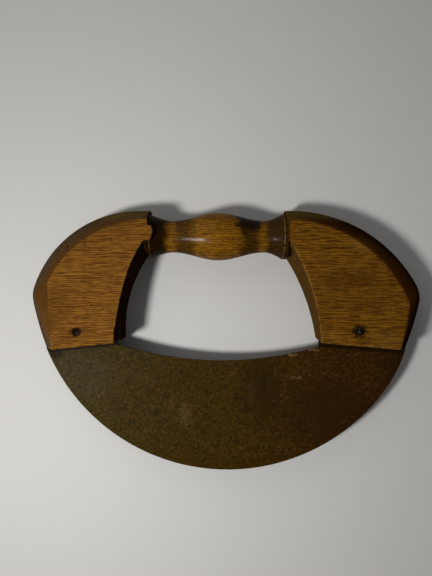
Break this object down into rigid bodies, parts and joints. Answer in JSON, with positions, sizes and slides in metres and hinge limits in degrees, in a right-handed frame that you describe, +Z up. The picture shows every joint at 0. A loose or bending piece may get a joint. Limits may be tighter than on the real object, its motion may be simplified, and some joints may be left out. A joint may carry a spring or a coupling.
{
  "type": "hand chopping knife",
  "caption": "Crescent-bladed hand chopping knife: a round-edged steel blade riveted into flat wooden arms that a turned wooden grip bridges, for rocking over herbs and vegetables.",
  "frame": {"origin": "centre of the bounding box on the plane that the arms' back faces rest on", "axes": "+X along the grip to the right, +Y away from the cutting edge towards the grip, +Z up through the thickness of the arms"},
  "size_m": [0.2348, 0.1574, 0.03],
  "materials": {
    "arm_wood": "old oiled hardwood, worn, with dark end grain",
    "grip_wood": "turned hardwood polished by hands",
    "blade_steel": "carbon steel with a brown patina and rust freckles",
    "rivet_iron": "peened iron, oxidised"
  },
  "bodies": {
    "root": {"blade": "blade_steel", "left_arm": "arm_wood", "right_arm": "arm_wood", "handle": "grip_wood", "left_rivet": "rivet_iron", "right_rivet": "rivet_iron"}
  },
  "joints": []
}
